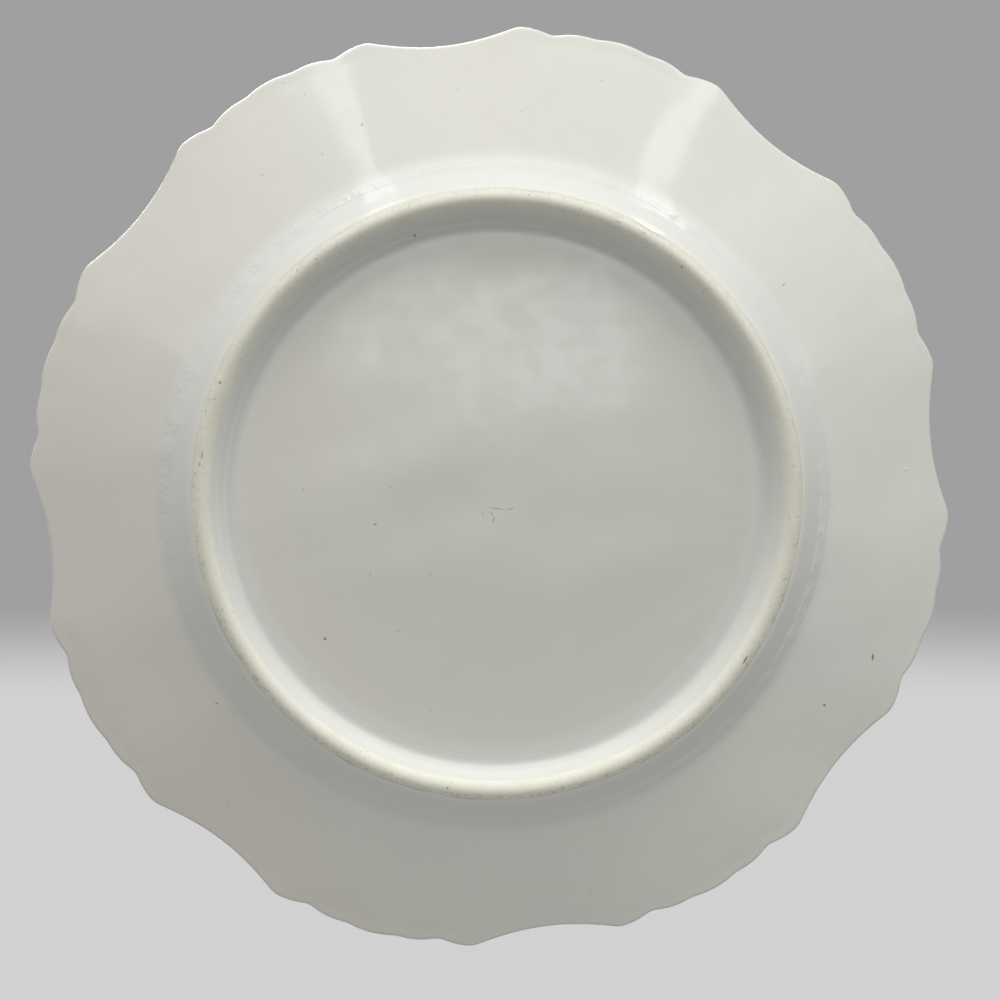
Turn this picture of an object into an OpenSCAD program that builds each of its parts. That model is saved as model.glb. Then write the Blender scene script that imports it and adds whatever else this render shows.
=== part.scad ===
// Cabinet plate of glazed porcelain: a flat well, a rising flange with a scalloped lip, and a foot ring.
// The plate lies face up. The origin is the middle of the foot ring's bearing face, and +Z points up.

/* [Lip] */
// Diameter across the crests of the lobes, glaze included
lip_d = 230; // [200:1:260]
// Number of lobes round the lip
lobes = 8; // [6:1:10]
// Thickness of the clay at the rounded lip
lip_t = 2.5; // [1.5:0.1:4]
// Height of the middle of the lip above the table, at the crest of a lobe
lip_z = 19.5; // [16:0.5:26]
// Angle from the middle of a lobe to its small notch
notch_a = 3.3; // [3:0.1:4.5]
// Angle from the middle of a lobe to its deep notch
deep_a = 8.6; // [7:0.1:10]
// Angle from the middle of a lobe to the shoulder where the dip starts
shoulder_a = 13.1; // [11:0.1:15]
// Depth of the small notch inside the crest circle
notch_in = 0.8; // [0.2:0.1:1.5]
// Depth of the deep notch inside the crest circle
deep_in = 2; // [0.5:0.1:3]
// Depth of the shoulder inside the crest circle
shoulder_in = 0.4; // [0:0.1:1.5]
// Depth of the dip between two lobes inside the crest circle
dip_in = 4.8; // [2:0.1:8]
// Bulge of the ripple between the two notches
side_bulge = 0.75; // [0:0.05:1]
// Bulge of the ripple between the deep notch and the shoulder
shoulder_bulge = 0.5; // [0:0.05:1]

/* [Well and flange] */
// Thickness of the clay in the well
well_t = 3.6; // [3:0.1:6]
// Thickness of the clay where the flange starts
flange_t = 4.2; // [3:0.1:6]
// Width of the hollow curve on the back, from the foot ring out to the flange
hollow_w = 7; // [4:0.1:10]
// Width of the cavetto on the face, from the well out to the flange
cavetto_w = 14; // [8:0.5:20]

/* [Foot ring] */
// Diameter of the middle of the bearing band
foot_d = 142.8; // [120:0.2:150]
// Width of the flat bearing band
foot_band = 1.6; // [1:0.1:3]
// Height of the foot ring
foot_h = 7; // [4.6:0.1:8]
// Slope of the outer wall of the ring
foot_out_a = 43; // [38:1:60]
// Slope of the inner wall of the ring
foot_in_a = 53; // [40:1:70]
// Rounding of the bearing band's two edges
foot_edge_r = 0.5; // [0.2:0.1:0.7]

/* [Glaze] */
// Thickness of the glaze
glaze_t = 0.25; // [0.15:0.05:0.4]
// Height at which the glaze stops on both walls of the foot ring
glaze_stop = 0.8; // [0.6:0.1:1.5]
// Radius of the glaze that pools between the foot ring and the recess
pool_r = 3; // [1:0.1:4]
// Hairline between the glaze and the walls of the foot ring
glaze_fit = 0.03; // [0.02:0.01:0.05]

/* [Hidden] */
$fn = 96;

half_lobe = 180 / lobes;
lip_round = lip_t / 2;
lip_r = lip_d / 2 - glaze_t;
foot_r = foot_d / 2;
foot_out_r = foot_r + foot_band / 2 + foot_h / tan(foot_out_a);
foot_in_r = foot_r - foot_band / 2 - foot_h / tan(foot_in_a);
flange_r = foot_out_r + hollow_w;
flange_w = lip_r - lip_round - flange_r;
well_r = flange_r - cavetto_w;
well_z = foot_h + well_t;

// The hollow curve is a parabola that leaves the foot ring's wall and meets the flange without a kink
lip_low_z = lip_z - lip_round;
lip_high_z = lip_z + lip_round;
hollow_share = hollow_w / (2 * flange_w);
flange_z = (foot_h + hollow_w * tan(foot_out_a) / 2 + hollow_share * lip_low_z) / (1 + hollow_share);
back_slope = (lip_low_z - flange_z) / flange_w;
face_slope = (lip_high_z - flange_z - flange_t) / flange_w;

// How many straight steps stand for each curve
ripple_steps = 2;
dip_steps = 3;
hollow_steps = 3;
cavetto_steps = 3;
arc_steps = 6;

// Where the round of the lip starts on the back and ends on the face, as angles above level
lip_back_e = atan(back_slope) - 90;
lip_face_e = atan(face_slope) + 90;

// Even steps from one value to another, without the first
function steps(from, to, count) = [for (i = [1:count]) from + (to - from) * i / count];

function mix(p, q, s) = p + (q - p) * s;

// A point moved out of the clay by lift, square to a surface of that slope; side is -1 below and 1 above
function lifted(p, slope, side, lift) =
    let (a = atan(slope))
    p + side * lift * [-sin(a), cos(a)];

// Depth of the lip inside the crest circle between two places, on an arc that bulges outwards
function ripple_in(u, u0, u1, in0, in1, bulge) =
    let (s = (u - u0) / (u1 - u0))
    in0 + (in1 - in0) * s - 4 * bulge * s * (1 - s);

// Depth of the lip inside the crest circle at an angle u from the middle of the nearest lobe
function lip_in(u) =
    u < notch_a ? notch_in * pow(u / notch_a, 2)
    : u < deep_a ? ripple_in(u, notch_a, deep_a, notch_in, deep_in, side_bulge)
    : u < shoulder_a ? ripple_in(u, deep_a, shoulder_a, deep_in, shoulder_in, shoulder_bulge)
    : dip_in - (dip_in - shoulder_in) * pow((half_lobe - u) / (half_lobe - shoulder_a), 2);

// The angles at which half a lobe is cut, from its middle to the middle of the dip
half_cuts = concat(
    steps(0, notch_a, ripple_steps),
    steps(notch_a, deep_a, ripple_steps),
    steps(deep_a, shoulder_a, ripple_steps),
    steps(shoulder_a, half_lobe, dip_steps)
);
last_cut = len(half_cuts) - 1;
widest_cut = max([for (i = [1:last_cut]) half_cuts[i] - half_cuts[i - 1]]);
lobe_cuts = concat([for (i = [last_cut - 1:-1:0]) -half_cuts[i]], [0], half_cuts);
cuts = [for (k = [0:lobes - 1], u = lobe_cuts) [2 * half_lobe * k + u, abs(u)]];

// The places along the section, each a function of the angle u that gives a radius and a height.
// The lip is trimmed from a cone, so where it is cut back it is lower too.
function lip_place(e, lift) =
    function (u) [
        lip_r - lip_in(u) - lip_round + (lip_round + lift) * cos(e),
        lip_z - back_slope * lip_in(u) + (lip_round + lift) * sin(e)
    ];

// The foot ring is truly round, so the coat's flat sides stand just outside it
function foot_wall_place(z, lift) =
    let (
        p = [foot_out_r - (foot_h - z) / tan(foot_out_a), z],
        q = lifted(p, tan(foot_out_a), -1, lift)
    )
    function (u) [q[0] / cos(widest_cut / 2), q[1]];

function hollow_place(s, lift) =
    let (
        slope = mix(tan(foot_out_a), back_slope, s),
        mean_slope = mix(tan(foot_out_a), slope, 0.5),
        p = [foot_out_r + hollow_w * s, foot_h + hollow_w * s * mean_slope]
    )
    function (u) lifted(p, slope, -1, lift);

function cavetto_place(s, lift) =
    let (
        rise = flange_z + flange_t - well_z,
        turn = face_slope * cavetto_w,
        z = well_z + rise * (3 - 2 * s) * s * s + turn * (s - 1) * s * s,
        slope = (6 * rise * (1 - s) + turn * (3 * s - 2)) * s / cavetto_w
    )
    function (u) lifted([well_r + cavetto_w * s, z], slope, 1, lift);

// The flange is ruled: straight lines from its round inner edge out to the scalloped lip
function between(place_a, place_b, s) = function (u) mix(place_a(u), place_b(u), s);

function hollow_line(lift) = [for (s = steps(0, 1, hollow_steps)) hollow_place(s, lift)];

function back_line(lift) = concat(
    hollow_line(lift),
    [between(hollow_place(1, lift), lip_place(lip_back_e, lift), 0.5)],
    [for (s = [1, 0.5, 0]) lip_place(lip_back_e * s, lift)]
);

function face_line(lift) = concat(
    [for (s = [0, 0.5, 1]) lip_place(lip_face_e * s, lift)],
    [between(lip_place(lip_face_e, lift), cavetto_place(1, lift), 0.5)],
    [for (i = [cavetto_steps:-1:0]) cavetto_place(i / cavetto_steps, lift)]
);

function backwards(list) = [for (i = [len(list) - 1:-1:0]) list[i]];

function past_first(list) = [for (i = [1:len(list) - 1]) list[i]];

// The points of a section carried all the way round the plate, one ring of them for each place
function round_points(section) = [
    for (place = section, cut = cuts)
        let (p = place(cut[1]))
        [p[0] * cos(cut[0]), p[0] * sin(cut[0]), p[1]]
];

// The triangles between two rings of points, cut alike on both sides of a shared surface
function strip(low, high) =
    let (n = len(cuts))
    [
        for (j = [0:n - 1])
            let (
                a = low * n,
                b = high * n,
                k = (j + 1) % n
            )
            each [[a + j, b + j, a + k], [a + k, b + j, b + k]]
    ];

function strips(first, last) = [for (i = [first:last - 1]) each strip(i, i + 1)];

// The flat disc that shuts a ring of points, facing down
function disc(i) = [[for (j = [0:len(cuts) - 1]) i * len(cuts) + j]];

function turned(faces) = [for (face = faces) backwards(face)];

// A coat between an outer and an inner section that run the same way, shut at its two ends.
// A coat over the well has no inner edge, so its last ring is shut by discs.
module coat(outer, inner, over_well) {
    m = len(outer);
    far_end = over_well ? concat(turned(disc(m - 1)), disc(2 * m - 1)) : strip(m - 1, 2 * m - 1);
    polyhedron(
        round_points(concat(outer, inner)),
        concat(strips(0, m - 1), turned(strips(m, 2 * m - 1)), strip(m, 0), far_end)
    );
}

// Points of a round corner between two angles
function arc(centre, r, a0, a1) =
    [for (a = concat([a0], steps(a0, a1, arc_steps))) centre + r * [cos(a), sin(a)]];

// The moulded clay body, flat under the well where the foot ring is seated
module porcelain_body() {
    section = concat([hollow_place(0, 0)], back_line(0), past_first(face_line(0)));
    last = len(section) - 1;
    color("whitesmoke")
        polyhedron(round_points(section), concat(disc(0), strips(0, last), turned(disc(last))));
}

// The foot ring: sloping walls, a flat bearing band with rounded edges, and a flat seat under the well
module foot_ring() {
    out_c = [foot_r + foot_band / 2 - foot_edge_r * tan(foot_out_a / 2), foot_edge_r];
    in_c = [foot_r - foot_band / 2 + foot_edge_r * tan(foot_in_a / 2), foot_edge_r];
    color("wheat")
        rotate_extrude()
            polygon(concat(
                arc(in_c, foot_edge_r, 270 - foot_in_a, 270),
                arc(out_c, foot_edge_r, 270, 270 + foot_out_a),
                [[foot_out_r, foot_h], [foot_in_r, foot_h]]
            ));
}

// The coat over the face, from the middle of the lip to the middle of the well
module face_glaze() {
    color("white")
        coat(face_line(glaze_t), face_line(0), true);
}

// The coat over the outer back, from low on the foot ring's wall out to the middle of the lip
module back_glaze() {
    foot_outer = [for (z = [glaze_stop, foot_h]) foot_wall_place(z, glaze_t)];
    foot_inner = [for (z = [glaze_stop, foot_h]) foot_wall_place(z, glaze_fit)];
    color("white")
        coat(concat(foot_outer, back_line(glaze_t)), concat(foot_inner, back_line(0)), false);
}

// The coat inside the foot ring, pooled in the corner between the ring and the flat underside
module recess_glaze() {
    along = [cos(foot_in_a), -sin(foot_in_a)];
    square_off = [-sin(foot_in_a), -cos(foot_in_a)];
    corner = [foot_in_r, foot_h] + glaze_fit / sin(foot_in_a) * [-1, 0];
    stop = corner + along * (foot_h - glaze_stop) / sin(foot_in_a);
    floor_z = foot_h - glaze_t;
    meet = corner - glaze_t * [tan(foot_in_a / 2), 1];
    pool_c = meet - pool_r * [tan(foot_in_a / 2), 1];
    color("white")
        rotate_extrude()
            polygon(concat(
                [[0, foot_h], corner, stop, stop + glaze_t * square_off],
                arc(pool_c, pool_r, 90 - foot_in_a, 90),
                [[0, floor_z]]
            ));
}

porcelain_body();
foot_ring();
face_glaze();
back_glaze();
recess_glaze();
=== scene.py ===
"""A cabinet plate of white glazed porcelain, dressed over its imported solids. Lengths are in metres."""

import bpy
import numpy as np
from mathutils import Matrix, Vector


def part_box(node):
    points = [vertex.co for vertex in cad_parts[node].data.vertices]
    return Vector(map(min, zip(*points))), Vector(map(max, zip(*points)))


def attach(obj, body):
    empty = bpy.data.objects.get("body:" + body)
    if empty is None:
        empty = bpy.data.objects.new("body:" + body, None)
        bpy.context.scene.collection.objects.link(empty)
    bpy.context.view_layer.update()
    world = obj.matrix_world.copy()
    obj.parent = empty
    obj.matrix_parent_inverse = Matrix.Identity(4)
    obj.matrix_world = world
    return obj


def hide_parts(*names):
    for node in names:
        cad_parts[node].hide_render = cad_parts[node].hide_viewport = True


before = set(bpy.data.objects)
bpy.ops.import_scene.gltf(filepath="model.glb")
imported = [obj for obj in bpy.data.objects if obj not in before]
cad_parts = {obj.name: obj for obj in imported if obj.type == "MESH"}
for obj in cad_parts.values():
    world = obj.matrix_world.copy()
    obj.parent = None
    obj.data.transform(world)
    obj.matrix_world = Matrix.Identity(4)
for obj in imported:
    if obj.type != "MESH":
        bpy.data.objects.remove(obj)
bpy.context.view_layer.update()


# Clay body
# Porcelain clay pressed over a mould: a flat well, a rising cavetto and a fluted flange whose lip is
# trimmed to eight lobes with small ripples. It is cream white where bare, and the glaze hides all of it.

MM = 0.001
COLUMNS = 1024  # points round the plate, a whole number of them to each lobe
LOBES = 8
HALF_LOBE = 180 / LOBES  # degrees from the middle of a lobe to the middle of a dip
NOTCH_ANGLE = 3.3  # degrees from the middle of a lobe
DEEP_ANGLE = 8.6
SHOULDER_ANGLE = 13.15
NOTCH_DEPTH = 0.82 * MM  # inside the circle through the crests of the lobes
DEEP_DEPTH = 2.05 * MM
SHOULDER_DEPTH = 0.35 * MM
DIP_DEPTH = 4.8 * MM
SIDE_BULGE = 0.75 * MM
SHOULDER_BULGE = 0.5 * MM
LIP_ROUNDING = 0.5  # degrees over which the lip's corners are rounded
RIDGE_ROUNDING = 0.8  # the same for the ridges between the flange's panels
LOBE_FLATNESS = 0.65 * MM  # how far the panels lie inside a true cone, at the lip
DIP_FLATNESS = 1.8 * MM
LIP_MIDDLE_Z = 19.5 * MM
LIP_REACH = 0.7 * MM  # half width of the clay's rounded edge, seen from below
HOLLOW_WIDTH = 7.5 * MM
CAVETTO_WIDTH = 14 * MM
FLANGE_THICKNESS = 4.2 * MM
WELL_THICKNESS = 3.6 * MM
OUTER_WALL_SLOPE = np.tan(np.radians(44))
FLANGE_GATHER = 1.5  # crowds the rows of the flange towards the lip
POLE_R = 1 * MM  # the smallest ring of points, round the one on the axis
SHARP_ANGLE = np.radians(60)  # edges sharper than this aren't smoothed
BACK_BODY_ROWS = (8, 12, 4)  # the hidden clay needs few rows
FACE_BODY_ROWS = (4, 10, 8, 4)
CREAM = (0.855, 0.843, 0.714)
PALE_CREAM = (0.86, 0.852, 0.755)
DULL_CREAM = (0.82, 0.805, 0.695)
GRIT = (0.4, 0.37, 0.28)
PIT = (0.1, 0.09, 0.07)
WORN_BEARING = np.radians(74)  # the side of the foot ring with most grit
WORN_REACH = 50 * MM
GRITTY_R = (71.3 * MM, 72.9 * MM)  # where the band's outer side turns gritty
DIRT_R = (72.8 * MM, 73.3 * MM)  # and where the line of dirt along the glaze begins
PALE_Z = (0.1 * MM, 0.8 * MM)  # heights over which the clay turns paler towards the glaze
CLAY_CLOUDS = 6 * MM
CLAY_GRAIN = 0.5 * MM
GRIT_SIZE = 0.9 * MM
PIT_SPACING = 1.5 * MM
CLAY_RELIEF = 0.03 * MM
CLAY_MARKS = [(40, 120, 0.6, 0.4, 0, 0.4)]  # radius and bearing, length, width, turn, strength

clay_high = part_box("porcelain_body")[1]
ring_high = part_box("foot_ring")[1]
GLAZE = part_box("back_glaze")[1].x - clay_high.x
LIP_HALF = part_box("face_glaze")[1].z - LIP_MIDDLE_Z - GLAZE
lip_r = clay_high.x
foot_h = ring_high.z
foot_out_r = ring_high.x
flange_r = foot_out_r + HOLLOW_WIDTH
flange_w = lip_r - LIP_REACH - flange_r
well_r = flange_r - CAVETTO_WIDTH
well_z = foot_h + WELL_THICKNESS
hollow_share = HOLLOW_WIDTH / (2 * flange_w)
hollow_rise = HOLLOW_WIDTH * OUTER_WALL_SLOPE / 2
flange_z = (foot_h + hollow_rise + hollow_share * (LIP_MIDDLE_Z - LIP_HALF)) / (1 + hollow_share)
back_slope = (LIP_MIDDLE_Z - LIP_HALF - flange_z) / flange_w
face_slope = (LIP_MIDDLE_Z + LIP_HALF - flange_z - FLANGE_THICKNESS) / flange_w

bearing = np.arange(COLUMNS) * 360 / COLUMNS  # degrees round the plate from the middle of a lobe


def from_lobe(degrees):
    """Degrees from the middle of the nearest lobe: a saw-tooth of the bearing, folded."""
    return np.abs((degrees + HALF_LOBE) % (2 * HALF_LOBE) - HALF_LOBE)


def scallop(degrees):
    """Depth of the lip inside its crest circle. From the middle of a lobe outwards: a parabola to the small
    notch, a bulging ripple to the deep notch, another to the shoulder, and a parabola into the dip."""
    u = from_lobe(degrees)

    def ripple(u0, u1, depth0, depth1, bulge):
        s = (u - u0) / (u1 - u0)
        return depth0 + (depth1 - depth0) * s - 4 * bulge * s * (1 - s)

    crest = NOTCH_DEPTH * (u / NOTCH_ANGLE) ** 2
    side = ripple(NOTCH_ANGLE, DEEP_ANGLE, NOTCH_DEPTH, DEEP_DEPTH, SIDE_BULGE)
    shoulder = ripple(DEEP_ANGLE, SHOULDER_ANGLE, DEEP_DEPTH, SHOULDER_DEPTH, SHOULDER_BULGE)
    out_of_dip = (HALF_LOBE - u) / (HALF_LOBE - SHOULDER_ANGLE)
    dip = DIP_DEPTH - (DIP_DEPTH - SHOULDER_DEPTH) * out_of_dip**2
    return np.select([u < NOTCH_ANGLE, u < DEEP_ANGLE, u < SHOULDER_ANGLE], [crest, side, shoulder], dip)


def panels(degrees):
    """Depth of the flange inside a true cone: a shallow panel under each lobe and a wider one under each dip,
    both parabolas, which meet in ridges at the deep notches."""
    u = from_lobe(degrees)
    lobe = LOBE_FLATNESS * (1 - (u / DEEP_ANGLE) ** 2)
    dip = DIP_FLATNESS * (1 - ((HALF_LOBE - u) / (HALF_LOBE - DEEP_ANGLE)) ** 2)
    return np.where(u < DEEP_ANGLE, lobe, dip)


def rounded(values, degrees):
    """Values round the plate, each averaged over a bell of that width: their Fourier series, damped."""
    order = np.arange(len(values) // 2 + 1)
    damping = np.exp(-0.5 * (order * np.radians(degrees)) ** 2)
    return np.fft.irfft(np.fft.rfft(values) * damping, len(values))


lip_depth = rounded(scallop(bearing), LIP_ROUNDING)
panel_depth = rounded(panels(bearing), RIDGE_ROUNDING)
panel_rise = back_slope * panel_depth * flange_r / lip_r
lip_drop = back_slope * (lip_depth - panel_depth)
lip_z = LIP_MIDDLE_Z + lip_drop.min() - lip_drop


def along(start, end, count, gather=1.0):
    """A column of shares from start to end, without the first. Gather above 1 crowds them at the end."""
    t = np.arange(1, count + 1)[:, None] / count
    return start + (end - start) * (1 - (1 - t) ** gather)


def lip_edge(e, lift):
    """Radius and height on the rounded lip: an ellipse about its middle, e radians up from level."""
    r = lip_r - lip_depth - LIP_REACH + (LIP_REACH + lift) * np.cos(e)
    return r, lip_z + (LIP_HALF + lift) * np.sin(e)


def lifted(r, z, slope, lift):
    """A point of a section moved square to a surface of that slope, up by lift or down by minus lift."""
    a = np.arctan(slope)
    return r - lift * np.sin(a), z + lift * np.cos(a)


def hollow(s, lift, down=0.0):
    """The hollow curve on the back, a parabola from the foot ring's wall at s 0 to the flange at s 1, where
    the panels have risen by a smooth step. It starts that far down the wall."""
    start_r, start_z = foot_out_r - down / OUTER_WALL_SLOPE, foot_h - down
    rise = LIP_MIDDLE_Z - LIP_HALF - start_z - HOLLOW_WIDTH * OUTER_WALL_SLOPE / 2
    flange_slope = rise / (lip_r - LIP_REACH - start_r - HOLLOW_WIDTH / 2)
    slope = OUTER_WALL_SLOPE + (flange_slope - OUTER_WALL_SLOPE) * s
    z = start_z + HOLLOW_WIDTH * s * (OUTER_WALL_SLOPE + slope) / 2
    z = z + panel_rise * s**2 * (3 - 2 * s)
    return lifted(start_r + HOLLOW_WIDTH * s, z, slope, -lift)


def cavetto(s, lift):
    """The rising curve on the face, a cubic from the level well at s 0 to the flange at s 1, where the panels
    have risen by a smooth step."""
    rise = flange_z + FLANGE_THICKNESS - well_z
    turn = face_slope * CAVETTO_WIDTH
    z = well_z + rise * (3 - 2 * s) * s**2 + turn * (s - 1) * s**2
    slope = (6 * rise * (1 - s) + turn * (3 * s - 2)) * s / CAVETTO_WIDTH
    z = z + panel_rise * s**2 * (3 - 2 * s)
    return lifted(well_r + CAVETTO_WIDTH * s, z, slope, lift)


def flutes(start, e, lift, share):
    """The flange: straight lines from its inner edge, where the panels have risen, out to the lip."""
    r, z = lip_edge(e, lift)
    return start[0] + (r - start[0]) * share, start[1] + (z - start[1]) * share


def stacked(*parts):
    """Rows of radii and heights, put one after the other and spread to every column."""
    full = [[np.broadcast_to(x, (len(x), COLUMNS)) for x in part] for part in parts]
    return np.vstack([p[0] for p in full]), np.vstack([p[1] for p in full])


def back_rows(lift, hollow_rows, flange_rows, lip_rows, down=0.0):
    """The back from the foot ring's wall, that far down, out to the middle of the lip: the hollow's parabola,
    the flange's straight lines and the lower half of the lip's ellipse."""
    e = np.arctan(back_slope * (LIP_REACH + lift) / (LIP_HALF + lift)) - np.pi / 2
    return stacked(
        hollow(along(0, 1, hollow_rows), lift, down),
        flutes(hollow(1, lift, down), e, lift, along(0, 1, flange_rows, FLANGE_GATHER)),
        lip_edge(along(e, 0, lip_rows), lift),
    )


def face_rows(lift, lip_rows, flange_rows, cavetto_rows, well_rows):
    """The face from the middle of the lip in to a small ring at the middle of the well: the upper half of the
    lip's ellipse, the flange's straight lines, the cavetto's cubic and a level line."""
    e = np.arctan(face_slope * (LIP_REACH + lift) / (LIP_HALF + lift)) + np.pi / 2
    inner_r = along(well_r, POLE_R, well_rows)
    return stacked(
        lip_edge(along(0, e, lip_rows), lift),
        flutes(cavetto(1, lift), e, lift, 1 - along(0, 1, flange_rows)),
        cavetto(1 - along(0, 1, cavetto_rows), lift),
        (inner_r, well_z + lift + 0 * inner_r),
    )


def turned_piece(name, rows, on_axis):
    """A closed skin: the rings of points in rows, joined each to the next. The section runs anticlockwise,
    outwards below and inwards above. Its ends meet on the axis, at a point each, or close on each other."""
    r, z = rows
    count, columns = r.shape
    turn = np.radians(np.arange(columns) * 360 / columns)
    points = np.stack([r * np.cos(turn), r * np.sin(turn), z], axis=2).reshape(-1, 3)
    here = np.arange(columns)
    there = (here + 1) % columns
    first = np.arange(count - 1 if on_axis else count)[:, None] * columns
    second = (first + columns) % (count * columns)
    faces = np.stack([first + here, first + there, second + there, second + here], axis=2).reshape(-1, 4)
    faces = faces.tolist()
    if on_axis:
        ends = np.array([[0, 0, z[0].mean()], [0, 0, z[-1].mean()]])
        start, last = len(points), (count - 1) * columns
        points = np.vstack([points, ends])
        faces += np.stack([np.full(columns, start), there, here], axis=1).tolist()
        faces += np.stack([last + here, last + there, np.full(columns, start + 1)], axis=1).tolist()
    mesh = bpy.data.meshes.new(name)
    mesh.from_pydata(points.tolist(), [], faces)
    mesh.shade_smooth()
    mesh.set_sharp_from_angle(angle=SHARP_ANGLE)
    piece = bpy.data.objects.new(name, mesh)
    bpy.context.scene.collection.objects.link(piece)
    return piece


class Value:
    """A number that varies over a surface: a node's output. Arithmetic on it adds Math nodes."""

    def __init__(self, tree, socket):
        self.tree = tree
        self.socket = socket

    def math(self, operation, *numbers):
        return self.tree.node("ShaderNodeMath", {"operation": operation}, dict(enumerate(numbers)))

    def __add__(self, other):
        return self.math("ADD", self, other)

    def __sub__(self, other):
        return self.math("SUBTRACT", self, other)

    def __rsub__(self, other):
        return self.math("SUBTRACT", other, self)

    def __mul__(self, other):
        return self.math("MULTIPLY", self, other)

    def above(self, other):
        return self.math("MAXIMUM", self, other)

    def below(self, other):
        return self.math("MINIMUM", self, other)

    def step(self, low, high, start=0.0, end=1.0):
        """From start to end as this goes from low to high, with soft ends."""
        sockets = {0: self, 1: low, 2: high, 3: start, 4: end}
        return self.tree.node("ShaderNodeMapRange", {"interpolation_type": "SMOOTHSTEP"}, sockets)

    def fade(self, low, high):
        """From 1 down to 0 as this goes from low to high, with soft ends."""
        return self.step(low, high, 1.0, 0.0)

    __radd__ = __add__
    __rmul__ = __mul__


class Nodes:
    """A node tree under construction, of a material or of the world."""

    def __init__(self, owner):
        owner.use_nodes = True
        self.owner = owner
        self.tree = owner.node_tree
        self.tree.nodes.clear()

    def node(self, kind, settings=(), sockets=(), out=0):
        """Adds a node: its type, its settings, then numbers, colours or links for its sockets."""
        made = self.tree.nodes.new(kind)
        for name, value in dict(settings).items():
            setattr(made, name, value)
        for name, value in dict(sockets).items():
            if isinstance(value, Value):
                self.tree.links.new(value.socket, made.inputs[name])
            else:
                made.inputs[name].default_value = value
        return Value(self, made.outputs[out]) if made.outputs else made

    def blend(self, share, a, b):
        """Colour a where share is 0 and colour b where it is 1."""
        settings = {"data_type": "RGBA"}
        colours = {key: (*c, 1.0) if isinstance(c, tuple) else c for key, c in ((6, a), (7, b))}
        return self.node("ShaderNodeMix", settings, {0: share, **colours}, out=2)

    def length(self, vector):
        return self.node("ShaderNodeVectorMath", {"operation": "LENGTH"}, {0: vector}, out=1)

    def reach(self, vector, way):
        """How far a vector goes in the direction of way: their dot product."""
        return self.node("ShaderNodeVectorMath", {"operation": "DOT_PRODUCT"}, {0: vector, 1: way}, out=1)

    def upright(self, vector):
        return self.node("ShaderNodeSeparateXYZ", {}, {0: vector}, out="Z")

    def from_axis(self, place):
        """Distance from the plate's axis."""
        level = self.node("ShaderNodeVectorMath", {"operation": "MULTIPLY"}, {0: place, 1: (1, 1, 0)})
        return self.length(level)

    def noise(self, place, size, detail=2.0):
        """Clouds of about that size, from 0 to 1 round a middle of a half."""
        return self.node("ShaderNodeTexNoise", {}, {"Vector": place, "Scale": 1 / size, "Detail": detail})

    def bump(self, height, depth, normal=None):
        """A normal from a height of 0 to 1 that stands for that depth."""
        sockets = {"Height": height, "Distance": depth, "Strength": 1.0}
        if normal is not None:
            sockets["Normal"] = normal
        return self.node("ShaderNodeBump", {}, sockets)

    def spots(self, place, marks):
        """Small marks on a surface seen along the axis: one soft ellipse each, and the strongest wins. A mark
        is its radius and bearing on the plate, its length, width and turn, and its strength."""
        found = None
        for radius, degrees, length, width, turn, strength in marks:
            a = np.radians(degrees)
            sockets = {
                "Vector": place,
                "Location": (radius * MM * np.cos(a), radius * MM * np.sin(a), 0),
                "Rotation": (0, 0, np.radians(degrees + turn)),
                "Scale": (length * MM / 2, width * MM / 2, 1),
            }
            local = self.node("ShaderNodeMapping", {"vector_type": "TEXTURE"}, sockets)
            mark = self.length(local).step(0.45, 1.15, strength, 0.0)
            found = mark if found is None else found.above(mark)
        return found

    def surface(self, **sockets):
        """Ends a material in a Principled surface with these sockets, and returns the material."""
        named = {name.replace("_", " "): value for name, value in sockets.items()}
        shader = self.node("ShaderNodeBsdfPrincipled", {}, named)
        self.node("ShaderNodeOutputMaterial", {}, {"Surface": shader})
        return self.owner


def level_way(a):
    """A level direction, a radians round the plate."""
    return np.cos(a), np.sin(a), 0


def clay_finish(name, marks):
    """Bare fired clay: cream and matt, gritty on its outer side, with a brown line of dirt at the glaze."""
    nodes = Nodes(bpy.data.materials.new(name))
    place = nodes.node("ShaderNodeTexCoord", {}, {}, out="Object")
    radius = nodes.from_axis(place)
    worn = nodes.reach(place, level_way(WORN_BEARING)).step(-WORN_REACH, WORN_REACH, 0.25, 1.0)
    cloud = nodes.noise(place, CLAY_CLOUDS, 4)
    grain = nodes.noise(place, CLAY_GRAIN, 3)
    gritty = radius.step(*GRITTY_R) * worn * 0.3 + 0.08
    grit = nodes.noise(place, GRIT_SIZE, 4).step(0.48, 0.64) * gritty
    pits = nodes.node("ShaderNodeTexVoronoi", {}, {"Vector": place, "Scale": 1 / PIT_SPACING})
    pit = pits.fade(0.06, 0.2) * cloud.step(0.42, 0.6)
    edge = nodes.upright(place).step(*PALE_Z)
    dirt = radius.step(*DIRT_R) * cloud.step(0.3, 0.6, 0.2, 0.5) * worn
    dark = (pit * (edge * 0.35 + 0.2)).above(nodes.spots(place, marks))
    colour = nodes.blend(edge * 0.9, CREAM, PALE_CREAM)
    colour = nodes.blend(cloud.step(0.3, 0.7) * 0.8, colour, DULL_CREAM)
    colour = nodes.blend(grit.above(dirt), colour, GRIT)
    colour = nodes.blend(dark, colour, PIT)
    rough = grain.step(0.3, 0.7, 0.5, 0.75)
    relief = nodes.bump(grain - pit * 0.8, CLAY_RELIEF)
    return nodes.surface(Base_Color=colour, Roughness=rough, Normal=relief)


underside_r = np.array([[POLE_R], [foot_out_r / 2], [foot_out_r]])
clay = turned_piece(
    "clay_body",
    stacked(
        (underside_r, foot_h + 0 * underside_r),
        back_rows(0, *BACK_BODY_ROWS),
        face_rows(0, *FACE_BODY_ROWS),
    ),
    on_axis=True,
)
clay.data.materials.append(clay_finish("bare_clay", CLAY_MARKS))
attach(clay, "root")
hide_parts("porcelain_body")


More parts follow.
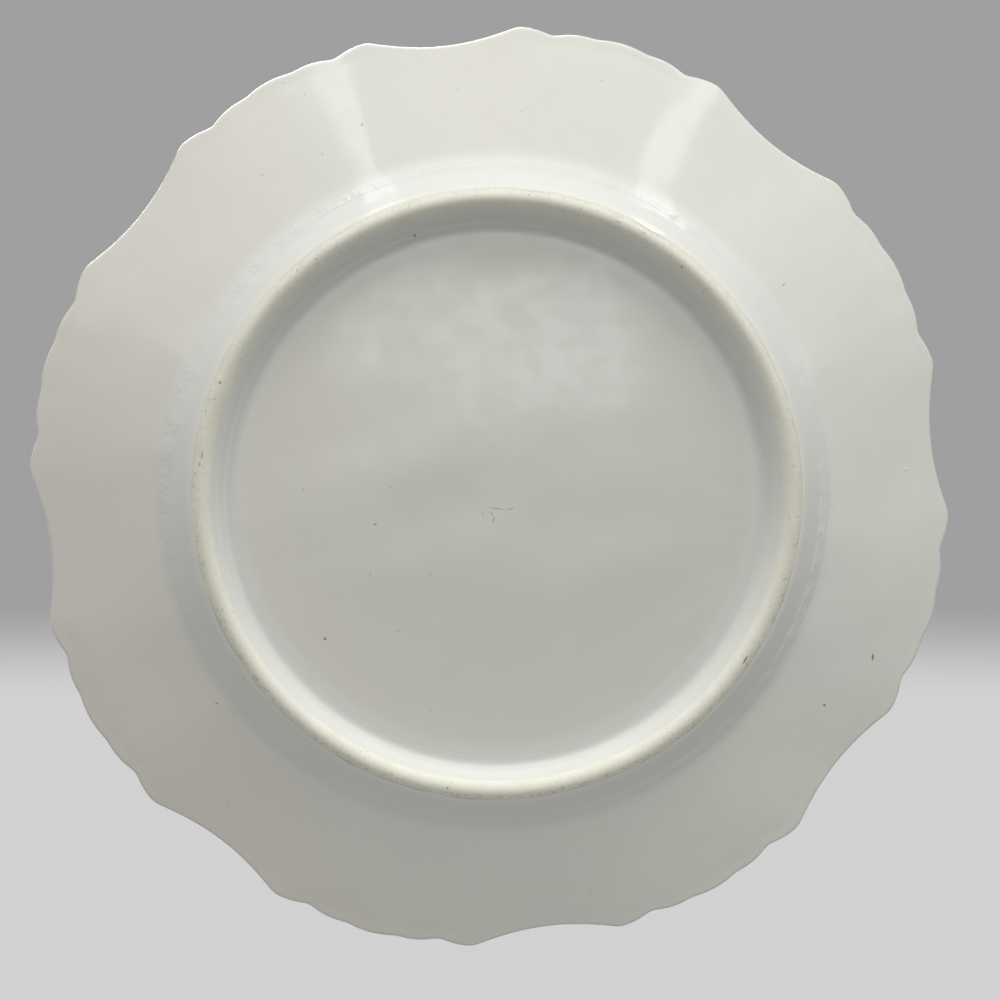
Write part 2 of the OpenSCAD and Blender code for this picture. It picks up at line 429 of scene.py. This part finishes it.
# Foot ring
# A turned ring of the same clay, luted under the well. Its crest is wiped clean of glaze before firing, so
# the plate stands on a bare cream band, gritty and grey along the edges of the glaze.

FOOT_R = 71.25 * MM  # middle of the bearing band
CREST_RADIUS = 2.4 * MM
BEVEL_ANGLE = np.radians(30)  # of the band's outer side, worn flat
FOOT_IN_R = 66.6 * MM
OFF_CENTRE = 0.3 * MM  # of the recess, as it was turned
OFF_BEARING = 74.0
OUTER_WALL_ANGLE = np.arctan(OUTER_WALL_SLOPE)
INNER_ROWS = 10
CREST_ROWS = 20
BEVEL_ROWS = 4
OUTER_ROWS = 8
SEAT_ROWS = 4
BAND_MARKS = [  # radius and bearing, length, width, turn, strength
    (71.6, 186.6, 0.9, 0.6, 60, 0.8),
    (71.5, 183.4, 0.7, 0.5, 0, 0.45),
    (72.6, 180.7, 0.4, 0.9, 0, 0.4),
    (71.3, 172.4, 0.5, 2.6, 0, 0.5),
    (71.6, 170.6, 0.5, 1.2, 0, 0.5),
    (71.5, 165.8, 0.5, 0.7, 0, 0.3),
    (71.2, 142.2, 0.5, 0.8, 0, 0.4),
    (71.7, 139.9, 0.4, 0.6, 0, 0.4),
    (72.4, 127.2, 0.4, 0.8, 0, 0.4),
    (71.9, 124.1, 0.4, 0.6, 0, 0.4),
    (71.4, 95.4, 0.4, 0.6, 0, 0.5),
    (71.2, 84.3, 0.5, 0.5, 0, 0.8),
    (72.1, 88.1, 0.3, 0.8, 0, 0.3),
    (72.0, 61.8, 0.3, 1.6, 0, 0.35),
    (72.1, 57.5, 0.3, 2.2, 0, 0.4),
    (72.2, 53.1, 0.3, 1.2, 0, 0.4),
    (72.3, 46.9, 0.3, 1.0, 0, 0.35),
    (72.3, 33.4, 0.4, 0.9, 0, 0.35),
    (71.5, 17.7, 0.5, 2.6, -4, 0.85),
    (70.8, 6.3, 0.4, 0.6, 0, 0.35),
    (71.7, 0.3, 0.4, 0.7, 0, 0.35),
    (71.4, 338.2, 0.4, 0.7, 0, 0.3),
    (70.2, 292.5, 0.5, 0.7, 0, 0.7),
    (71.8, 282.8, 0.4, 1.4, 0, 0.4),
    (71.4, 277.5, 0.4, 1.6, 0, 0.4),
    (72.1, 273.1, 0.3, 0.6, 0, 0.4),
    (71.3, 269.9, 0.4, 0.9, 0, 0.35),
    (72.2, 259.7, 0.35, 0.4, 0, 0.6),
    (71.8, 256.1, 0.3, 0.7, 0, 0.4),
    (71.7, 249.7, 0.3, 0.5, 0, 0.45),
    (72.3, 247.4, 0.35, 0.4, 0, 0.6),
    (71.3, 216.6, 0.4, 1.0, 0, 0.45),
    (72.1, 212.5, 0.4, 0.8, 0, 0.4),
    (71.6, 206.8, 0.3, 0.6, 0, 0.35),
]

bevel_slope = np.tan(BEVEL_ANGLE)
crest_end = FOOT_R + CREST_RADIUS * np.sin(BEVEL_ANGLE), CREST_RADIUS * (1 - np.cos(BEVEL_ANGLE))
bevel_r = foot_h - foot_out_r * OUTER_WALL_SLOPE - crest_end[1] + crest_end[0] * bevel_slope
bevel_r = bevel_r / (bevel_slope - OUTER_WALL_SLOPE)
bevel_end = bevel_r, foot_h - (foot_out_r - bevel_r) * OUTER_WALL_SLOPE
foot_in_r = FOOT_IN_R + OFF_CENTRE * np.cos(np.radians(bearing - OFF_BEARING))
wall_width, wall_height = FOOT_R - foot_in_r, foot_h - CREST_RADIUS
inner_angle = np.arcsin(CREST_RADIUS / np.hypot(wall_width, wall_height))
inner_angle = inner_angle + np.arctan2(wall_height, wall_width)
inner_turn = 1.5 * np.pi - inner_angle
outer_turn = 1.5 * np.pi + BEVEL_ANGLE
inner_foot = FOOT_R + CREST_RADIUS * np.cos(inner_turn), CREST_RADIUS * (1 + np.sin(inner_turn))


def ring_arc(middle_r, middle_z, radius, start, end, count):
    """Points of a round corner between two angles in the section: a circle about its middle."""
    a = along(start, end, count)
    return middle_r + radius * np.cos(a), middle_z + radius * np.sin(a)


def straight(r0, z0, r1, z1, count):
    """Even points on the line from one place in the section to another, without the first."""
    s = along(0, 1, count)
    return r0 + (r1 - r0) * s, z0 + (z1 - z0) * s


ring = turned_piece(
    "foot_ring_clay",
    stacked(
        straight(foot_in_r, foot_h, *inner_foot, INNER_ROWS),
        ring_arc(FOOT_R, CREST_RADIUS, CREST_RADIUS, inner_turn, outer_turn, CREST_ROWS),
        straight(*crest_end, *bevel_end, BEVEL_ROWS),
        straight(*bevel_end, foot_out_r, foot_h, OUTER_ROWS),
        straight(foot_out_r, foot_h, foot_in_r, foot_h, SEAT_ROWS),
    ),
    on_axis=False,
)
ring.data.materials.append(clay_finish("foot_clay", BAND_MARKS))
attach(ring, "root")
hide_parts("foot_ring")


# Back glaze
# A clear glass coat over white clay, from low on the foot ring's outer wall out to the middle of the lip. It
# thins to a feathered edge, gathers in the hollow outside the ring, shows the ring's turning lines and holds
# a few dark kiln specks.

GLAZE_STOP = 0.85 * MM  # height of the coat's edge on the wall
STOP_WAVER = 0.3 * MM
STOP_WAVES = [3, 7, 11, 19, 31, 47]  # waves round the plate
STOP_SEED = 3
EDGE_STEP = 0.15 * MM
EDGE_FEATHER = 0.8 * MM
EDGE_THINNING = 0.88
WALL_HAIRLINE = 0.03 * MM
GATHERED_DOWN = 3.4 * MM  # how far down the wall the glaze in the hollow starts
WALL_ROWS = 30
BACK_ROWS = (14, 24, 9)
BACK_UNDER_ROWS = (4, 5, 2)
WALL_UNDER_ROWS = 2
TURNING_LINES = [  # radius, height and width in mm
    (73.7, 0.012, 0.12),
    (74.4, 0.03, 0.16),
    (75.2, 0.012, 0.12),
    (75.9, 0.02, 0.14),
    (76.8, 0.012, 0.14),
    (78.3, -0.05, 0.22),
    (79.2, 0.05, 0.4),
    (80.6, 0.02, 0.3),
]
LIP_GROOVE = 0.06 * MM
LIP_GROOVE_IN = 3.0 * MM
LIP_GROOVE_WIDTH = 1.1 * MM
LIP_GROOVE_FADE = 2  # degrees
BACK_WAVY = 0.012  # mean slope of the coat's waviness
BACK_SEED = 11
BACK_CALM = 6 * MM  # how near the lip it dies away
RUMPLED = 0.035  # mean slope of the finer waviness at the foot of the hollow
RUMPLED_SEED = 17
RUMPLED_R = 79
RUMPLED_WIDTH = 2.5
WHITE = (0.8, 0.788, 0.705)
COOL_WHITE = (0.78, 0.782, 0.715)
MOTTLE = (0.76, 0.745, 0.67)
# Painted warm bounce light: a pinkish tint in the glaze on the side towards this bearing, growing outwards
PAINTED_WARM_BOUNCE = (0.8, 0.762, 0.69)
PAINTED_BOUNCE_BEARING = np.radians(154)
PAINTED_BOUNCE_REACH = (20 * MM, 90 * MM)
POOLED = (0.777, 0.787, 0.732)  # where the glaze gathers on the foot ring's walls
POOLED_IN = (59 * MM, 64 * MM)  # radii over which that begins
POOLED_OUT = (79 * MM, 86 * MM)  # and ends
THICK_SHADED = (0.7, 0.715, 0.67)  # and where it fills the corner inside the ring, greyer still as painted shade in that corner
THICK_SHADED_IN = (62.5 * MM, 65 * MM)
THICK_SHADED_OUT = (65.8 * MM, 67.6 * MM)
RING_TOP = (9 * MM, 10 * MM)  # heights over which what belongs to the foot ring's walls ends
THIN_Z = (0.8 * MM, 2.4 * MM)  # heights over which the clay shows through the coat's thin edge
CRAWLED_IN = (78.8 * MM, 79.4 * MM)
CRAWLED_OUT = (80.4 * MM, 81.4 * MM)
GLAZE_CLOUDS = 55 * MM
MOTTLE_SIZE = 5 * MM
PRICK_SPACING = 11 * MM
RIPPLE_SIZE, RIPPLE_DEPTH = 9 * MM, 0.06 * MM
WRINKLE_SIZE, WRINKLE_DEPTH = 1.3 * MM, 0.14 * MM
SKIN_SIZE, SKIN_DEPTH = 1.6 * MM, 0.006 * MM
BLISTER_DEPTH = 0.09 * MM
SPECK = (0.13, 0.12, 0.1)
BACK_SPECKS = [
    (103.0, 7.7, 2.0, 0.7, 66, 0.95),
    (97.6, 17.0, 0.9, 0.8, 0, 0.9),
    (99.0, 15.0, 0.5, 0.5, 0, 0.3),
    (85.0, 127.7, 0.8, 0.6, 30, 0.6),
    (102.2, 60.8, 0.6, 0.5, 0, 0.35),
    (86.7, 307.9, 0.7, 0.6, 0, 0.55),
    (95.3, 234.1, 0.9, 0.7, 20, 0.5),
    (95.9, 217.9, 0.6, 0.6, 0, 0.4),
    (92.4, 227.0, 0.6, 0.5, 0, 0.35),
    (98.7, 248.7, 0.5, 0.5, 0, 0.3),
    (93.0, 257.6, 0.5, 0.5, 0, 0.3),
    (101.7, 114.9, 0.6, 0.5, 0, 0.3),
    (86.5, 121.6, 0.5, 0.5, 0, 0.25),
    (107.8, 228.6, 0.6, 0.5, 0, 0.3),
]
BACK_BLISTERS = [(102.7, 340.9, 0.9, 0.8, 0, 1.0), (88.0, 61.0, 0.5, 0.5, 0, 0.6)]


def wavering(seed, orders):
    """A slow wave round the plate, from -1 to 1: a few cosines with drawn phases."""
    draw = np.random.default_rng(seed)
    phase = draw.uniform(0, 2 * np.pi, len(orders))
    waves = np.cos(np.outer(orders, np.radians(bearing)) + phase[:, None])
    return waves.mean(axis=0)


def uneven(r, seed, slope, shortest=16, longest=50, waves=14):
    """Gentle hills and hollows over the plate: plane waves of a range of lengths in mm, of a mean slope."""
    draw = np.random.default_rng(seed)
    turn = np.radians(bearing)
    total = np.zeros_like(r)
    drawn = draw.uniform((shortest, 0, 0), (longest, 2 * np.pi, 2 * np.pi), (waves, 3))
    for length, heading, phase in drawn:
        number = 2 * np.pi / (length * MM)
        total += np.cos(number * r * np.cos(turn - heading) + phase) / number
    return total * slope * np.sqrt(2 / waves)


def coat_edge(away, thickness):
    """Thickness of a coat at a distance from its edge: a small step, then a feathered rise to its own."""
    step = np.sqrt(1 - np.exp(-((away / EDGE_STEP) ** 2)))
    return thickness * step * (1 - EDGE_THINNING * np.exp(-away / EDGE_FEATHER))


def glaze_finish(name, marks, blisters, white=WHITE, cool_white=COOL_WHITE):
    """Glossy white glaze: warm and cool clouds in the white, a painted warm bounce of light on one side, a
    greyer corner inside the ring that is thicker glaze and painted shade, dark specks, pinpricks and a soft
    waviness. It has crawled into fine wrinkles along the foot of the ring's wall, and stands up in a few
    blisters."""
    nodes = Nodes(bpy.data.materials.new(name))
    place = nodes.node("ShaderNodeTexCoord", {}, {}, out="Object")
    height = nodes.upright(place)
    radius = nodes.from_axis(place)
    cloud = nodes.noise(place, GLAZE_CLOUDS, 3)
    mottle = nodes.noise(place, MOTTLE_SIZE, 4)
    # Painted warm bounce light: a pinkish tint on the side towards one bearing, stronger further out.
    warm_bounce = nodes.reach(place, level_way(PAINTED_BOUNCE_BEARING)).step(*PAINTED_BOUNCE_REACH)
    low = height.fade(*RING_TOP)
    pooled = radius.step(*POOLED_IN) * radius.fade(*POOLED_OUT) * low
    thick_shaded = radius.step(*THICK_SHADED_IN) * radius.fade(*THICK_SHADED_OUT) * low
    crawled = radius.step(*CRAWLED_IN) * radius.fade(*CRAWLED_OUT) * low
    cells = {"Vector": place, "Scale": 1 / PRICK_SPACING}
    near = nodes.node("ShaderNodeTexVoronoi", {}, cells)
    lot = nodes.node("ShaderNodeTexVoronoi", {}, cells, out="Color")
    chosen = nodes.node("ShaderNodeSeparateColor", {}, {0: lot}).step(0.62, 0.64)
    prick = near.fade(0.012, 0.03) * chosen
    colour = nodes.blend(cloud.step(0.35, 0.65), white, cool_white)
    colour = nodes.blend(mottle.step(0.3, 0.7) * 0.3, colour, MOTTLE)
    colour = nodes.blend(warm_bounce * 0.8, colour, PAINTED_WARM_BOUNCE)
    colour = nodes.blend(pooled, colour, POOLED)
    # The corner inside the ring is greyed: partly thicker glaze, partly painted shade.
    colour = nodes.blend(thick_shaded, colour, THICK_SHADED)
    colour = nodes.blend(height.step(*THIN_Z, 0.7, 0.0), colour, PALE_CREAM)
    colour = nodes.blend((prick * 0.35).above(nodes.spots(place, marks)), colour, SPECK)
    rough = mottle.step(0.35, 0.7, 0.1, 0.16) + thick_shaded * 0.3
    relief = nodes.bump(nodes.noise(place, RIPPLE_SIZE, 1), RIPPLE_DEPTH)
    relief = nodes.bump(nodes.noise(place, WRINKLE_SIZE, 2) * crawled, WRINKLE_DEPTH, relief)
    relief = nodes.bump(nodes.spots(place, blisters), BLISTER_DEPTH, relief)
    relief = nodes.bump(nodes.noise(place, SKIN_SIZE, 2) - prick * 0.6, SKIN_DEPTH, relief)
    return nodes.surface(Base_Color=colour, Roughness=rough, Normal=relief)


def wall_rows(stop, top, lift, count):
    """The outer wall of the foot ring from the coat's edge up to that height: its straight slope, lifted off
    the clay."""
    z = stop + (top - stop) * along(0, 1, count)
    z = np.vstack([stop + 0 * z[:1], z])
    r = foot_out_r - (foot_h - z) / OUTER_WALL_SLOPE
    away = (z - stop) / np.sin(OUTER_WALL_ANGLE)
    return lifted(r, z, OUTER_WALL_SLOPE, -lift(r, away))


def turned_lines(r):
    """Height of the fine ridges left by the turning tool: a bell at each one's radius."""
    return sum(h * MM * np.exp(-(((r / MM - at) / w) ** 2)) for at, h, w in TURNING_LINES)


def wall_coat(r, away):
    """Thickness of the coat on the outer wall, with the ridges under it."""
    return coat_edge(away, GLAZE) + turned_lines(r)


glaze_stop = GLAZE_STOP + STOP_WAVER * wavering(STOP_SEED, STOP_WAVES)
wall_r, wall_z = wall_rows(glaze_stop, foot_h - GATHERED_DOWN, wall_coat, WALL_ROWS)
out_r, out_z = back_rows(GLAZE, *BACK_ROWS, GATHERED_DOWN)
edge_in = (lip_r + GLAZE - lip_depth) - out_r
on_lobe = rounded(np.where(from_lobe(bearing) < SHOULDER_ANGLE, 1.0, 0.0), LIP_GROOVE_FADE)
out_z = out_z + LIP_GROOVE * on_lobe * np.exp(-(((edge_in - LIP_GROOVE_IN) / LIP_GROOVE_WIDTH) ** 2))
out_z = out_z - turned_lines(out_r)
calm = np.clip(edge_in / BACK_CALM, 0, 1) * (out_r > foot_out_r - GATHERED_DOWN)
out_z = out_z + uneven(out_r, BACK_SEED, BACK_WAVY) * calm
near_wall = np.exp(-(((out_r / MM - RUMPLED_R) / RUMPLED_WIDTH) ** 2))
out_z = out_z + uneven(out_r, RUMPLED_SEED, RUMPLED, shortest=3, longest=9, waves=24) * near_wall
under_r, under_z = back_rows(0, *BACK_UNDER_ROWS)
hid_r, hid_z = wall_rows(glaze_stop, foot_h, lambda r, away: WALL_HAIRLINE, WALL_UNDER_ROWS)
back = turned_piece(
    "back_glaze_coat",
    stacked((wall_r, wall_z), (out_r, out_z), (under_r[::-1], under_z[::-1]), (hid_r[::-1], hid_z[::-1])),
    on_axis=False,
)
back.data.materials.append(glaze_finish("back_white_glaze", BACK_SPECKS, BACK_BLISTERS))
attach(back, "root")
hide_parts("back_glaze")


# Recess glaze
# The same glaze inside the foot ring: down the inner wall, pooled in the corner, which is greyed as thicker
# glaze and painted shade, and over the underside of the well, which sags a hair in the kiln. A faint scratch
# marks the middle, and a few specks lie about it.

RECESS_BEND = 1.25 * MM  # how gently the floor turns down into the inner wall
BEND_WIDTH = 7 * MM  # of the floor that has closer rows
COVE_OUT = 0.03 * MM  # brings the end of the bend back to the clay
SAG = 0.25 * MM
INNER_STOP = 1.55 * MM  # height of the coat's edge on the inner wall
INNER_STOP_WAVES = [2, 5, 9, 17, 29, 41]
INNER_STOP_SEED = 5
RECESS_WAVY = 0.008
RECESS_SEED = 23
RECESS_CALM = 8 * MM  # how near the bend the waviness dies away
FLOOR_ROWS = 16
BEND_ROWS = 44
INNER_UNDER_ROWS = 3
FLOOR_UNDER_ROWS = 4
RECESS_WHITE = (0.76, 0.749, 0.67)  # greyer than the back, all over the recess
RECESS_COOL_WHITE = (0.741, 0.743, 0.679)
RECESS_SPECKS = [
    (30.5, 151.2, 0.8, 0.6, 20, 0.6),
    (54.4, 124.6, 0.9, 0.8, 0, 0.8),
    (36.3, 132.7, 0.6, 0.5, 0, 0.4),
    (25.2, 115.2, 0.6, 0.5, 0, 0.35),
    (40.8, 110.7, 0.6, 0.5, 0, 0.4),
    (47.0, 166.1, 0.6, 0.5, 0, 0.4),
    (65.7, 236.4, 0.9, 0.7, 0, 0.85),
    (39.3, 82.6, 0.6, 0.5, 0, 0.25),
    (54.7, 91.6, 0.6, 0.5, 0, 0.25),
    (3.1, 82, 4.8, 0.4, -89, 0.42),
    (4.4, 31, 2.2, 0.4, -59, 0.4),
    (4.6, 93, 1.8, 0.4, -67, 0.4),
    (5.9, 85, 1.9, 0.45, 7, 0.42),
    (5.7, 114, 1.2, 0.4, -76, 0.3),
]
RECESS_BLISTERS = [(52.0, 301.0, 0.5, 0.5, 0, 0.6), (33.0, 20.0, 0.5, 0.4, 0, 0.5)]

corner_r = foot_in_r - WALL_HAIRLINE / np.sin(inner_angle)
skin_r = corner_r - GLAZE * np.tan(inner_angle / 2) + COVE_OUT
floor_z = foot_h - GLAZE
inner_slope = np.tan(inner_angle)
stop_z = INNER_STOP + STOP_WAVER * wavering(INNER_STOP_SEED, INNER_STOP_WAVES)


def inner_wall(z):
    """Radius of the foot ring's inner wall at a height: its straight slope, a hairline off the clay."""
    return corner_r + (foot_h - z) / inner_slope


def recess_height(r):
    """Height of the coat at a radius: a floor that sags a hair at the middle, less a soft bend, the logarithm
    of one plus an exponential, which runs out along the slope of the inner wall."""
    bend = RECESS_BEND * np.logaddexp(0, (r - skin_r) * inner_slope / RECESS_BEND)
    return floor_z - SAG * (1 - np.minimum(r / skin_r, 1) ** 2) - bend


bend_r = skin_r - BEND_WIDTH
edge_r = skin_r + (floor_z - stop_z) / inner_slope
bend_rows = bend_r + (edge_r - bend_r) * along(0, 1, BEND_ROWS)
floor_r = np.vstack([along(POLE_R, bend_r, FLOOR_ROWS), bend_rows])
skin_z = recess_height(floor_r)
thinned = GLAZE - coat_edge((skin_z - skin_z[-1]) / np.sin(inner_angle), GLAZE)
calm = np.clip((bend_r - floor_r) / RECESS_CALM, 0, 1)
skin_z = skin_z + uneven(floor_r, RECESS_SEED, RECESS_WAVY) * calm
floor_r, skin_z = lifted(floor_r, skin_z, -inner_slope, thinned)
back_z = stop_z + (foot_h - stop_z) * along(0, 1, INNER_UNDER_ROWS)
home_r = along(corner_r, POLE_R, FLOOR_UNDER_ROWS)
recess = turned_piece(
    "recess_glaze_coat",
    stacked((floor_r, skin_z), (inner_wall(back_z), back_z), (home_r, foot_h + 0 * home_r)),
    on_axis=True,
)
recess.data.materials.append(
    glaze_finish("recess_white_glaze", RECESS_SPECKS, RECESS_BLISTERS, RECESS_WHITE, RECESS_COOL_WHITE)
)
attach(recess, "root")
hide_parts("recess_glaze")


# Face glaze
# The coat over the face, from the middle of the lip to the middle of the well: plain glossy white, of one
# thickness, with the flutes of the mould showing through.

FACE_ROWS = (9, 22, 18, 16)
FACE_UNDER_ROWS = (3, 8, 6, 4)
FACE_WAVY = 0.01
FACE_SEED = 31
FACE_LIP_PLAIN = 3 * MM  # from the lip, where the waviness begins
FACE_LIP_CALM = 6 * MM  # and over which it grows
FACE_POLE_CALM = 10 * MM
FACE_SPECKS = [
    (38.0, 205.0, 0.6, 0.5, 0, 0.4),
    (62.0, 305.0, 0.5, 0.5, 0, 0.35),
    (98.0, 75.0, 0.6, 0.5, 0, 0.4),
]
FACE_BLISTERS = [(55.0, 40.0, 0.5, 0.5, 0, 0.6)]

top_r, top_z = face_rows(GLAZE, *FACE_ROWS)
calm = np.clip((lip_r - lip_depth - top_r - FACE_LIP_PLAIN) / FACE_LIP_CALM, 0, 1)
pole_calm = np.clip(top_r / FACE_POLE_CALM, 0, 1)
top_z = top_z + uneven(top_r, FACE_SEED, FACE_WAVY) * calm * pole_calm
inside_r, inside_z = face_rows(0, *FACE_UNDER_ROWS)
face = turned_piece(
    "face_glaze_coat",
    stacked((inside_r[::-1], inside_z[::-1]), (top_r, top_z)),
    on_axis=True,
)
face.data.materials.append(glaze_finish("face_white_glaze", FACE_SPECKS, FACE_BLISTERS))
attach(face, "root")
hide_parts("face_glaze")


# Stage
# A plain pale floor, seen from above only, under a plain sky, and the camera under the plate. Two strips and
# three soft lamps light the back from beyond its upper edge in the picture, a low lamp lights it from beneath
# its lower edge, and a broad one lights the face.

PHOTO_TURN = np.radians(-15.9)  # bearing of the picture's right-hand side
CAMERA_AWAY = 0.48
CAMERA_TILT = np.tan(np.radians((-3.167, 3.606)))  # to the right and up
CAMERA_SHIFT = (0.677 * MM, -1.224 * MM)
CAMERA_LENS = 70.78
CAMERA_CLIP = 0.01
PLATE_MIDDLE = Vector((0, 0, 10 * MM))
FLOOR_HALF = 6.0
FLOOR_Z = -0.2 * MM
FLOOR_COLOUR = (0.6, 0.6, 0.59)

picture_right = Vector((np.cos(PHOTO_TURN), np.sin(PHOTO_TURN), 0))
picture_up = Vector((np.sin(PHOTO_TURN), -np.cos(PHOTO_TURN), 0))
towards = Vector((0, 0, -1))

floor_mesh = bpy.data.meshes.new("floor")
corners = [(-1, -1), (1, -1), (1, 1), (-1, 1)]
floor_mesh.from_pydata([(x * FLOOR_HALF, y * FLOOR_HALF, FLOOR_Z) for x, y in corners], [], [(0, 1, 2, 3)])
floor = bpy.data.objects.new("floor", floor_mesh)
bpy.context.scene.collection.objects.link(floor)
floor.visible_diffuse = False
floor.visible_glossy = False
floor.visible_transmission = False
floor.visible_shadow = False
floor_nodes = Nodes(bpy.data.materials.new("pale_floor"))
matt = floor_nodes.node("ShaderNodeBsdfDiffuse", {}, {"Color": (*FLOOR_COLOUR, 1)})
clear = floor_nodes.node("ShaderNodeBsdfTransparent")
from_below = floor_nodes.node("ShaderNodeNewGeometry", {}, {}, out="Backfacing")
one_sided = floor_nodes.node("ShaderNodeMixShader", {}, {0: from_below, 1: matt, 2: clear})
floor_nodes.node("ShaderNodeOutputMaterial", {}, {"Surface": one_sided})
floor_mesh.materials.append(floor_nodes.owner)

UPPER_SKY = 0.35  # above the plate, so behind it in the picture
LOWER_SKY = 0.64
SKY_EDGE = (-0.16, -0.11)  # how far up the picture the one turns into the other
SKY_FROM = (0.5, 0.8)  # how steeply up the sky begins
HORIZON = 0.9  # what the glaze mirrors from the level
UNDER = 1.4  # and from under the plate
UNDER_FROM = (-0.74, 0.1)
UNDER_UPPER = 1.0  # added towards the picture's upper edge
UNDER_UPPER_FROM = (0.2, 0.3)
UNDER_SIDE = 0.95  # and towards its right-hand side
NEAR = 1.8  # and from near the camera, dark towards the picture's lower edge
NEAR_WITHIN = (-0.86, -0.79)
NEAR_EDGE = (-0.13, 0.0)
PATCH = 3.0  # a small bright patch beside the camera
PATCH_LOWER, PATCH_UPPER = (-0.012, 0.012), (0.055, 0.085)
PATCH_LEFT, PATCH_RIGHT = (-0.04, 0.0), (0.1, 0.16)
FILL = 0.3  # soft light on everything
FILL_RISE = 0.28  # brighter towards the picture's upper edge
FILL_SIDE = -0.03  # and its left-hand side

world = bpy.data.worlds.new("sky")
bpy.context.scene.world = world
sky = Nodes(world)
heading = sky.node("ShaderNodeTexCoord", {}, {}, out="Generated")
rise = sky.reach(heading, picture_up)
sideways = sky.reach(heading, picture_right)
height = sky.upright(heading)
high = rise.step(*SKY_EDGE, LOWER_SKY, UPPER_SKY)
under = rise.step(*UNDER_UPPER_FROM, UNDER, UNDER + UNDER_UPPER) + sideways * UNDER_SIDE
patch = rise.step(*PATCH_LOWER) * rise.fade(*PATCH_UPPER)
patch = patch * sideways.step(*PATCH_LEFT) * sideways.fade(*PATCH_RIGHT) * PATCH
near = patch + rise.step(*NEAR_EDGE, 0.0, NEAR)
under = under + height.fade(*NEAR_WITHIN) * (near - under)
above = height.step(*SKY_FROM)
beneath = height.fade(*UNDER_FROM)
seen = high * above + under * beneath + (1 - above - beneath) * HORIZON
kinds = ("Camera", "Glossy", "Transmission")
rays = [sky.node("ShaderNodeLightPath", {}, {}, out=f"Is {kind} Ray") for kind in kinds]
shown = rays[0].above(rays[1]).above(rays[2])
fill = (rise * FILL_RISE + sideways * FILL_SIDE + FILL).above(0.0)
dimmed = seen + rays[0] * (seen.below(LOWER_SKY) - seen)
plain = sky.node("ShaderNodeBackground", {}, {"Color": fill})
pictured = sky.node("ShaderNodeBackground", {}, {"Color": dimmed})
mixed = sky.node("ShaderNodeMixShader", {}, {0: shown, 1: plain, 2: pictured})
sky.node("ShaderNodeOutputWorld", {}, {"Surface": mixed})

STRIP_AWAY = 0.43  # from the plate's axis
STRIP_SIZE = (0.055, 0.56)
STRIP_DOWN = 5 * MM  # its upper end, under the floor
STRIPS = [("right_strip", 57, 0.3), ("left_strip", 110, 0.28)]  # name, degrees round the picture, watts
LAMP_AWAY = 3.0
LAMP_SIZE = (1.8, 1.0)
LAMPS = [  # name, degrees round the picture and from the plate's axis, watts
    ("right_lamp", 60, 80, 12),
    ("left_lamp", 110, 80, 13),
    ("top_lamp", 85, 70, 31),
]
LOW_LAMP = 0.13
LOW_LAMP_SIZE = (0.5, 0.22)
LOW_LAMP_DOWN = 0.16  # towards the picture's lower edge
LOW_LAMP_FRONT = 0.14
SUN_FROM = Vector((-0.3, -0.4, 0.86))
SUN_SPREAD = np.radians(35)
SUN = 1.4


def outwards(degrees):
    """A level direction, so many degrees round the picture from its right-hand side."""
    a = np.radians(degrees)
    return picture_right * np.cos(a) + picture_up * np.sin(a)


def lamp(name, kind, place, aim, energy, **settings):
    """A lamp at a place, pointing at another, that the camera doesn't see."""
    data = bpy.data.lights.new(name, kind)
    data.energy = energy
    for key, value in settings.items():
        setattr(data, key, value)
    made = bpy.data.objects.new(name, data)
    bpy.context.scene.collection.objects.link(made)
    made.location = place
    made.rotation_mode = "QUATERNION"
    made.rotation_quaternion = (aim - place).to_track_quat("-Z", "Y")
    made.visible_camera = False
    return made


def panel_lamp(name, place, aim, watts, size, mirrored=False):
    """A flat lamp of that width and length, which the glaze mirrors or not."""
    width, length = size
    made = lamp(name, "AREA", place, aim, watts, shape="RECTANGLE", size=width, size_y=length)
    made.visible_glossy = mirrored


for name, degrees, watts in STRIPS:
    axis_point = towards * (STRIP_SIZE[1] / 2 + STRIP_DOWN)
    place = axis_point + outwards(degrees) * STRIP_AWAY
    panel_lamp(name, place, axis_point, watts, STRIP_SIZE, mirrored=True)
for name, degrees, lean, watts in LAMPS:
    a = np.radians(lean)
    way = outwards(degrees) * np.sin(a) + towards * np.cos(a)
    panel_lamp(name, PLATE_MIDDLE + way * LAMP_AWAY, PLATE_MIDDLE, watts, LAMP_SIZE)
low_place = PLATE_MIDDLE - picture_up * LOW_LAMP_DOWN + towards * LOW_LAMP_FRONT
panel_lamp("low_lamp", low_place, low_place + picture_up, LOW_LAMP, LOW_LAMP_SIZE)
lamp("over_lamp", "SUN", SUN_FROM, Vector(), SUN, angle=SUN_SPREAD)

back_axis = (picture_right * CAMERA_TILT[0] + picture_up * CAMERA_TILT[1] + towards).normalized()
side_axis = picture_up.cross(back_axis).normalized()
up_axis = back_axis.cross(side_axis)
camera_data = bpy.data.cameras.new("camera")
camera_data.lens = CAMERA_LENS
camera_data.clip_start = CAMERA_CLIP
camera = bpy.data.objects.new("camera", camera_data)
bpy.context.scene.collection.objects.link(camera)
eye = PLATE_MIDDLE + back_axis * CAMERA_AWAY + side_axis * CAMERA_SHIFT[0] + up_axis * CAMERA_SHIFT[1]
camera.matrix_world = Matrix.Translation(eye) @ Matrix((side_axis, up_axis, back_axis)).transposed().to_4x4()
bpy.context.scene.camera = camera
bpy.context.scene.view_settings.view_transform = "Standard"
